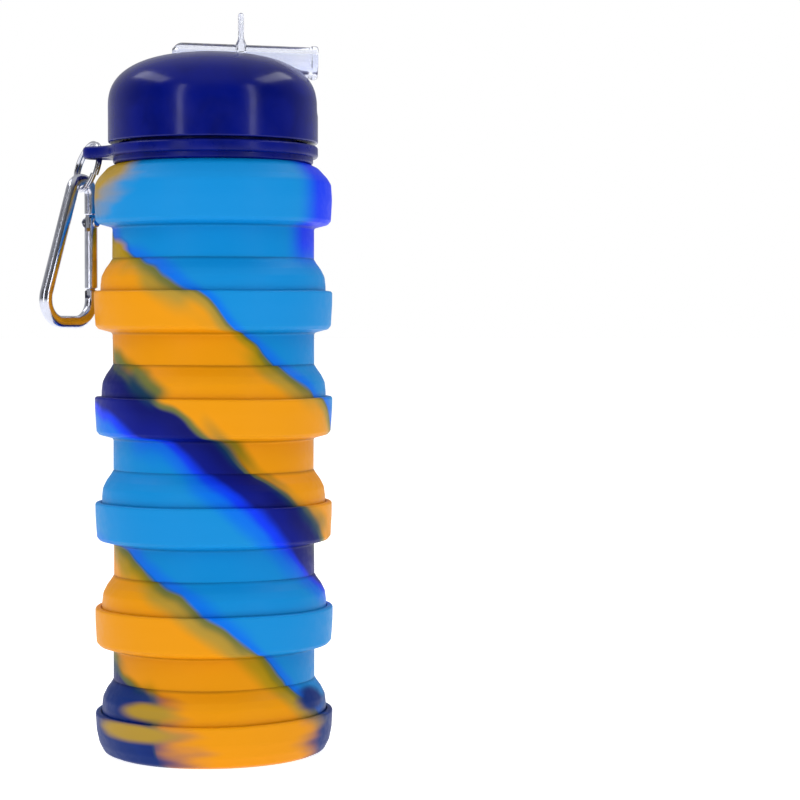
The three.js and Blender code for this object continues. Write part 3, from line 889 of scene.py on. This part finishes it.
def dome_line():
    """Outline from the axis at the ceiling, down the inside, round the skirt's foot, over the top."""
    ceiling, bore = 197.15, 27.5
    outer, bottom = CAP_RADIUS / MM, SKIRT_BOTTOM / MM
    line = profile([(0, ceiling, 0), (23.9, ceiling, 0.4), (24.4, 196.4, 0.4), (bore, 191.4, 0.8),
                    (bore, bottom, 0.4), (outer, bottom, 0.45), (outer, DOME_FOOT / MM, 0)],
                   2.5, closed=False)
    steps = 56
    for k in range(1, steps + 1):
        angle = k / steps * math.pi / 2
        across = CAP_RADIUS * math.cos(angle) ** (2 / DOME_POWER) if k < steps else 0.0
        height = DOME_FOOT + (DOME_TOP - DOME_FOOT) * math.sin(angle) ** (2 / DOME_POWER)
        line.append(Vector((across, height)))
    return line


def groove_cutter():
    """The groove with rounded upper edges that follow the dome, and a ramp out through its side."""
    edge = 0.8 * MM
    corner = 1.6 * MM
    quarter = [k / 6 * math.pi / 2 for k in range(7)]
    sections = []
    for k in range(int((GROOVE_END - GROOVE_BACK) / GROOVE_STEP)):
        x = GROOVE_BACK + k * GROOVE_STEP
        floor = GROOVE_FLOOR - max(0.0, x - GROOVE_FRONT) * RAMP_FALL
        rim = dome_height(math.hypot(x, GROOVE_HALF)) if abs(x) < DOME_LIMIT else floor
        rim = max(rim, floor + 2.2 * edge + corner)
        half = [Vector((0, floor))]
        half += [Vector((GROOVE_HALF - corner + corner * math.sin(a),
                         floor + corner - corner * math.cos(a))) for a in quarter]
        half += [Vector((GROOVE_HALF + edge - edge * math.cos(a), rim - edge + edge * math.sin(a)))
                 for a in quarter]
        half.append(Vector((GROOVE_HALF + edge + 4 * MM, DOME_TOP + 6 * MM)))
        ring = half + [Vector((-p.x, p.y)) for p in reversed(half[1:])]
        sections.append([Vector((x, p.x, p.y)) for p in ring])
    return loft("groove_cutter", sections)


SPOUT_PIVOT = Vector(joints["spout_flip"]["pos_m"])
VENT_X = 12 * MM


def build_dome():
    """The dome and skirt, with the groove, the spout's bearing and seat cut out, and the threads."""
    dome = solid_of_revolution("cap_dome_skin", dome_line(), 208)
    cut(dome, groove_cutter())
    across = Vector((0, 8 * MM, 0))
    bearing = rod_between("bearing", SPOUT_PIVOT - across, SPOUT_PIVOT + across, 1.55 * MM)
    cut(dome, bearing)
    low = Vector((SPOUT_PIVOT.x, 0, 190 * MM))
    cut(dome, rod_between("seat", low, low + Vector((0, 0, 12 * MM)), 4.5 * MM))
    first = math.radians(15)
    bottom = THREAD_BOTTOM + THREAD_LEAD * (0.25 + first / TAU)
    ridges = [thread(f"cap_thread_{k}", 26.9 * MM, bottom, first + k * math.pi, 0.42)
              for k in range(2)]
    joined(dome, *ridges)
    shade(dome, 30)
    finish_piece(dome, "cap", GLOSS_NAVY, "navy_gloss_plastic",
                 "cap_dome", "cap_skirt", "cap_thread_1", "cap_thread_2")


def build_cap_insides():
    """The liner with its plug, the ring seal, the spout's seat and the vent valve."""
    liner_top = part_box("cap_liner")[1][2] / MM
    foot, sheet, plug = 192.0, 196.0, 18.0
    liner = solid_of_revolution("cap_liner_skin", profile([
        (0, foot, 0), (plug, foot, 0.8), (plug, sheet, 0.3), (24.1, sheet, 0.2),
        (24.0, liner_top, 0.2), (0, liner_top, 0),
    ], 2, closed=False), 96)
    for centre, radius in ((SPOUT_PIVOT.x, 2.2 * MM), (VENT_X, 1.6 * MM)):
        low = Vector((centre, 0, 190 * MM))
        tool = rod_between("port", low, low + Vector((0, 0, 9 * MM)), radius)
        cut(liner, tool)
    finish_piece(shade(liner), "cap", INNER_NAVY, "inner_plastic", "cap_liner", "cap_plug")
    low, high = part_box("cap_seal")
    thick = (high[2] - low[2]) / MM
    seal = revolved("cap_seal_skin", profile([
        (20.8, 0, 0.4), (24.3, 0, 0.7), (24.3, thick, 0.4), (20.8, thick, 0.4),
    ], 1, base=low[2]), 96)
    finish_piece(seal, "cap_seat", SEAL, "seal_silicone", "cap_seal")
    low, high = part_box("spout_seat_seal")
    thick = (high[2] - low[2]) / MM
    seat = revolved("spout_seat_skin", profile([
        (1.9, 0, 0.2), (4.2, 0, 0.3), (4.2, thick - 0.4, 0.3), (3.5, thick, 0.4), (1.9, thick, 0.3),
    ], 1, base=low[2]), 48)
    seat.data.transform(Matrix.Translation((SPOUT_PIVOT.x, 0, 0)))
    finish_piece(seat, "cap", SEAL, "seal_silicone", "spout_seat_seal")
    low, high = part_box("vent_valve")
    valve = solid_of_revolution("vent_valve_skin", rounded([
        (0, low[2], 0),
        (0.7 * MM, low[2], 0.2 * MM),
        (1.3 * MM, low[2] + 1.2 * MM, 0.3 * MM),
        (1.3 * MM, high[2], 0.3 * MM),
        (0, high[2], 0),
    ], closed=False), 32)
    valve.data.transform(Matrix.Translation((VENT_X, 0, 0)))
    finish_piece(valve, "cap", SEAL, "seal_silicone", "vent_valve")


build_dome()
build_cap_insides()


# ==== flip spout ====
def finger_tab():
    """A thin tab with a round top, thicker where it grows out of the tube."""
    low, top = 205.0 * MM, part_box("flip_spout")[1][2]
    middle, wide, thick = 8.2 * MM, 4.5 * MM, 0.85 * MM
    round_top, thin_tip, swelling = 3.4 * MM, 0.9 * MM, 0.75 * MM
    root, root_rise = 208.8 * MM, 2.2 * MM
    steps, around = 40, 28
    rings = []
    for k in range(steps + 1):
        height = low + (top - low) * math.sin(k / steps * math.pi / 2)
        over = max(0.0, (height - (top - round_top)) / round_top)
        half = wide * (1 - 0.9999 * over ** 2.6) ** (1 / 2.6)
        swell = swelling * max(0.0, 1 - max(0.0, height - root) / root_rise) ** 2
        tip = max(0.0, (height - (top - thin_tip)) / thin_tip)
        depth = (thick + swell) * math.sqrt(max(0.02, 1 - 0.98 * tip ** 2))
        rings.append([Vector((middle + depth * math.cos(a) * abs(math.cos(a)) ** -0.4,
                              half * math.sin(a) * abs(math.sin(a)) ** -0.4, height))
                      for a in (TAU * (j + 0.5) / around for j in range(around))])
    return loft("tab", rings)


def build_spout():
    """Clear tube with a rounded elbow, side pins, a lip at the mouth and a finger tab."""
    wide, bore, lip = 4.6, 2.7, 5.0
    root = Vector((-7.0 * MM, 0, 204.6 * MM))
    mouth = Vector((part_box("flip_spout")[1][0] - 0.12 * MM, 0, 203.5 * MM))
    along = (mouth - root).normalized()
    reach = (mouth - root).length / MM
    turn = Vector((0, 0, 1)).rotation_difference(along).to_matrix().to_4x4()
    tube = solid_of_revolution("flip_spout_skin", profile([
        (0, -5.4, 0), (2.4, -5.3, 1.2), (wide, -3.4, 3.0), (wide, reach - 2.6, 0.5),
        (lip, reach - 1.6, 0.5), (lip, reach, 0.7), (0, reach, 0),
    ], 1.6, closed=False), 64)
    tube.data.transform(Matrix.Translation(root) @ turn)
    half_circle = [k / 24 * math.pi for k in range(25)]
    hub = solid_of_revolution("hub", [Vector((wide * MM * math.sin(a), -wide * MM * math.cos(a)))
                                      for a in half_circle], 48)
    hub.data.transform(Matrix.Translation(SPOUT_PIVOT))
    add(tube, hub)
    half = Vector((0, 6.9 * MM, 0))
    add(tube, rod_between("pins", SPOUT_PIVOT - half, SPOUT_PIVOT + half, 1.2 * MM, 32))
    add(tube, finger_tab())
    channel = rod_between("channel", root - along * 9 * MM, mouth + along * 3 * MM, bore * MM, 48)
    cut(tube, channel)
    finish_piece(shade(tube, 35), "spout", CLEAR, "clear_plastic", "flip_spout")


build_spout()


# ==== split ring and carabiner ====
def build_split_ring():
    """Two touching turns of flat-sided wire, with both ends showing."""
    normal = Vector(joints["ring_swing"]["axis"]).normalized()
    hang = Vector(joints["clip_swing"]["pos_m"])
    up = (Vector((0, 0, 1)) - normal * normal.z).normalized()
    radius = 7.4 * MM
    centre = hang + up * radius
    side = up.cross(normal)
    wire = 1.02 * MM
    turns, steps = 2.0, 230
    gap = 1.06
    lead_in = math.radians(200)
    path = []
    for k in range(steps + 1):
        t = k / steps
        angle = lead_in + t * turns * TAU
        stay = min(1.0, max(0.0, (t * turns - 0.5)))
        shift = (stay - 0.5) * wire * gap
        path.append(centre + (side * math.cos(angle) + up * math.sin(angle)) * radius + normal * shift)
    flat = [Vector((x, y)) for x, y in
            ((-0.52, -0.48), (0.52, -0.48), (0.52, 0.48), (-0.52, 0.48))]
    section = [tuple(p * MM) for p in rounded([(p.x, p.y, 0.24) for p in flat])]
    ring = swept("split_ring_skin", path, section)
    finish_piece(ring, "key_ring", STEEL, "bright_steel", "split_ring")


GATE_AXIS = -Vector(joints["gate_open"]["axis"])
GATE_PIVOT = Vector(joints["gate_open"]["pos_m"])
ROD = 1.9 * MM
PIN_HOLE = 1.15 * MM
BEND, WIDE = 4.0 * MM, 6.6 * MM     # radii of the narrow top bend and the bottom corners
HINGE_Y = -12.5 * MM
CLIP_LENGTH = 46 * MM
LOW_Y = -(CLIP_LENGTH - 2 * ROD) + WIDE
LOW_LEFT, LOW_RIGHT = -8.4 * MM, BEND - WIDE
NOSE_Y = -32.6 * MM


def clip_matrix():
    """From the carabiner's own plane (x towards the gate, y up, z across) to the frame."""
    rise = Vector((0, 0, 1))
    gatewards = rise.cross(GATE_AXIS).normalized()
    turn = Matrix((gatewards, rise, GATE_AXIS)).transposed().to_4x4()
    return Matrix.Translation(GATE_PIVOT) @ turn @ Matrix.Translation((-BEND, -HINGE_Y, 0))


CLIP = clip_matrix()


def clip_frame_path():
    """The bent rod's middle line, from the hinge over the top and round the bottom to the nose."""
    apart = math.hypot(LOW_LEFT, LOW_Y + BEND)
    downwards = math.atan2(LOW_Y + BEND, LOW_LEFT)
    tangent = downwards - math.acos((BEND - WIDE) / apart) + TAU
    top, left, right = (Vector(p) for p in ((0, -BEND), (LOW_LEFT, LOW_Y), (LOW_RIGHT, LOW_Y)))
    line = [Vector((BEND, HINGE_Y + 2.3 * MM + k * 0.9 * MM)) for k in range(6)]
    line += arc(top, BEND, 0, tangent, 26)
    below = left + WIDE * Vector((math.cos(tangent), math.sin(tangent)))
    line += [line[-1].lerp(below, k / 30) for k in range(1, 30)]
    line += arc(left, WIDE, tangent, 1.5 * math.pi, 22)
    line += [line[-1].lerp(right + Vector((0, -WIDE)), k / 6) for k in range(1, 6)]
    line += arc(right, WIDE, 1.5 * math.pi, TAU, 20)
    line += [Vector((BEND, LOW_Y + (NOSE_Y - LOW_Y) * k / 4)) for k in range(1, 5)]
    return [Vector((p.x, p.y, 0)) for p in line]


def chamfered_ends(path, chamfer=0.35 * MM):
    """Adds a point close to each end and narrows the ends, for a broken edge."""
    first, last = path[0], path[-1]
    path = ([first, first.lerp(path[1], min(0.45, chamfer / (path[1] - first).length))]
            + path[1:-1] + [last.lerp(path[-2], min(0.45, chamfer / (path[-2] - last).length)), last])
    scales = [1.0] * len(path)
    scales[0] = scales[-1] = 1 - chamfer / ROD
    return path, scales


def build_clip_frame():
    path, scales = chamfered_ends(clip_frame_path())
    bar = swept("carabiner_frame_skin", path, circle(ROD, 28), scales)
    tang = box_between("tang", (BEND - 1.5 * MM, HINGE_Y - 1.5 * MM, -0.75 * MM),
                       (BEND + 1.5 * MM, HINGE_Y + 3.2 * MM, 0.75 * MM))
    add(bar, tang)
    reach = Vector((0, 0, 3 * MM))
    pin = Vector((BEND, HINGE_Y, 0))
    cut(bar, rod_between("pin_hole", pin - reach, pin + reach, PIN_HOLE, 32))
    notch = box_between("notch", (BEND - 3 * MM, NOSE_Y - 2.4 * MM, -1.0 * MM),
                        (BEND + 1.2 * MM, NOSE_Y + 1 * MM, 1.0 * MM))
    cut(bar, notch)
    bar.data.transform(CLIP)
    finish_piece(shade(bar, 35), "clip", ALUMINIUM, "bright_aluminium", "carabiner_frame")


def build_clip_gate():
    foot, slot_floor = NOSE_Y + 0.4 * MM, HINGE_Y - 2.6 * MM
    line = [Vector((BEND, foot + k * (HINGE_Y + 1.8 * MM - foot) / 16, 0)) for k in range(17)]
    path, scales = chamfered_ends(line, 0.3 * MM)
    bar = swept("carabiner_gate_skin", path, circle(ROD, 28), scales)
    pin = Vector((BEND, HINGE_Y, 0))
    reach = Vector((0, 0, 3 * MM))
    body = box_between("gate_body", (BEND - 3 * MM, foot - 1 * MM, -3 * MM),
                       (BEND + 3 * MM, HINGE_Y, 3 * MM))
    add(body, rod_between("knuckle", pin - reach, pin + reach, ROD - 0.05 * MM, 48))
    boolean(bar, body, "INTERSECT")
    slot = box_between("slot", (BEND - 3 * MM, slot_floor, -1.1 * MM),
                       (BEND + 3 * MM, HINGE_Y + 3 * MM, 1.1 * MM))
    cut(bar, slot)
    cut(bar, rod_between("pin_hole", pin - reach, pin + reach, PIN_HOLE, 32))
    spring_hole = rod_between("spring_hole", Vector((BEND, slot_floor - 7 * MM, 0)),
                              Vector((BEND, slot_floor + 1 * MM, 0)), 1.0 * MM, 24)
    cut(bar, spring_hole)
    tongue = box_between("tongue", (BEND - 1.2 * MM, foot - 1.9 * MM, -0.7 * MM),
                         (BEND + 0.9 * MM, foot + 1 * MM, 0.7 * MM))
    add(bar, tongue)
    bar.data.transform(CLIP)
    finish_piece(shade(bar, 35), "clip_gate", ALUMINIUM, "bright_aluminium", "carabiner_gate")


def build_gate_rivet_and_spring():
    under, cap, shank = 2.15, 2.65, 0.85
    rivet = solid_of_revolution("gate_rivet_skin", profile([
        (0, -cap, 0), (1.25, -cap, 0.45), (1.6, -under, 0.15), (shank, -under, 0.1),
        (shank, under, 0.1), (1.6, under, 0.15), (1.25, cap, 0.45), (0, cap, 0),
    ], 0.6, closed=False), 40)
    rivet.data.transform(CLIP @ Matrix.Translation((BEND, HINGE_Y, 0)))
    finish_piece(rivet, "clip", STEEL, "bright_steel", "gate_rivet")
    top = HINGE_Y - 2.8 * MM
    turns, steps, wire = 7, 168, 0.16 * MM
    coil, length = 0.48 * MM, 6.2 * MM
    path = [Vector((BEND + coil * math.cos(TAU * turns * k / steps),
                    top - length * k / steps,
                    coil * math.sin(TAU * turns * k / steps))) for k in range(steps + 1)]
    spring = swept("gate_spring_skin", path, circle(wire, 10))
    spring.data.transform(CLIP)
    finish_piece(spring, "clip_gate", STEEL, "bright_steel", "gate_spring")


build_split_ring()
build_clip_frame()
build_clip_gate()
build_gate_rivet_and_spring()


# ==== floor, light and camera ====
def build_floor():
    """A lit white table that runs on to the horizon."""
    size = 30.0
    mesh = bpy.data.meshes.new("floor")
    corners = [(-size, -size, 0), (size, -size, 0), (size, size, 0), (-size, size, 0)]
    mesh.from_pydata(corners, [], [(0, 1, 2, 3)])
    floor = new_object("floor", mesh)
    n = Nodes("pale_floor")
    place = n.place()
    n.give("Base Color", n.mix(n.noise(place, 9.0), (0.54, 0.54, 0.55, 1), (0.56, 0.56, 0.56, 1)))
    n.give("Roughness", n.span(n.noise(place, 40.0), 0.3, 0.7, 0.75, 0.85))
    n.give("Specular IOR Level", 0.0)
    n.give("Emission Color", (1, 1, 1, 1))
    n.give("Emission Strength", 0.90)
    mesh.materials.append(n.material)


def studio_world():
    """A white studio, dim on the camera's side. Straight on, or through the spout, it is plain white."""
    world = bpy.data.worlds.new("studio")
    world.use_nodes = True
    bpy.context.scene.world = world
    tree = world.node_tree
    tree.nodes.clear()
    link = tree.links.new

    def new(kind):
        return tree.nodes.new("ShaderNode" + kind)

    def graded(socket, low, high, dim, bright):
        node = new("MapRange")
        node.interpolation_type = "SMOOTHSTEP"
        link(socket, node.inputs["Value"])
        for name, value in (("From Min", low), ("From Max", high), ("To Min", dim), ("To Max", bright)):
            node.inputs[name].default_value = value
        return node.outputs[0]

    output = new("OutputWorld")
    mix = new("MixShader")
    seen = new("Background")
    around = new("Background")
    path = new("LightPath")
    place = new("TexCoord")
    split = new("SeparateXYZ")
    brighter = new("Math")
    brighter.operation = "MAXIMUM"
    seen.inputs["Color"].default_value = (1, 1, 1, 1)
    link(place.outputs["Generated"], split.inputs[0])
    link(graded(split.outputs["Y"], -0.55, 0.75, 0.05, 0.62), brighter.inputs[0])
    link(graded(split.outputs["Z"], 0.35, 0.95, 0.05, 0.80), brighter.inputs[1])
    link(brighter.outputs[0], around.inputs["Strength"])
    direct = new("Math")
    direct.operation = "MAXIMUM"
    link(path.outputs["Is Camera Ray"], direct.inputs[0])
    link(path.outputs["Is Transmission Ray"], direct.inputs[1])
    link(direct.outputs[0], mix.inputs[0])
    link(around.outputs[0], mix.inputs[1])
    link(seen.outputs[0], mix.inputs[2])
    link(mix.outputs[0], output.inputs["Surface"])


BOTTLE_MIDDLE = Vector((0, 0, 0.11))


def softbox(name, azimuth, elevation, distance, wide, tall, radiance, mirrored=True):
    """An area light that faces the bottle. Azimuth 0 is the camera's side, 90 is to its right."""
    data = bpy.data.lights.new(name, "AREA")
    data.shape = "RECTANGLE"
    data.size = wide
    data.size_y = tall
    data.energy = radiance * math.pi * wide * tall
    light = new_object(name, data)
    turn, rise = math.radians(azimuth), math.radians(elevation)
    offset = Vector((math.sin(turn) * math.cos(rise), -math.cos(turn) * math.cos(rise),
                     math.sin(rise))) * distance
    light.location = BOTTLE_MIDDLE + offset
    light.rotation_euler = (-offset).to_track_quat("-Z", "Y").to_euler()
    light.visible_glossy = mirrored


def build_lights():
    """Tall strips beside the camera, panels high at each side, and a broad fill with no reflection."""
    softbox("strip_left", -36, 8, 1.5, 0.15, 1.5, 6.2)
    softbox("strip_right", 43, 8, 1.5, 0.18, 1.5, 5.4)
    softbox("panel_left", -96, 48, 1.5, 1.3, 0.34, 4.2)
    softbox("panel_right", 96, 48, 1.5, 1.3, 0.34, 4.2)
    softbox("fill", -12, 34, 2.0, 1.8, 1.5, 1.15, mirrored=False)


def build_camera():
    """The bottle stands left of the picture's middle, seen nearly level from the front."""
    data = bpy.data.cameras.new("camera")
    data.sensor_width = 36
    data.lens = 105.75
    camera = new_object("camera", data)
    camera.location = (0, -0.697, 0.1248)
    camera.rotation_euler = (math.radians(90 - 1.71), 0, math.radians(-4.53))
    bpy.context.scene.camera = camera


build_floor()
studio_world()
build_lights()
build_camera()
bpy.context.scene.view_settings.view_transform = "Standard"

bpy.context.view_layer.update()
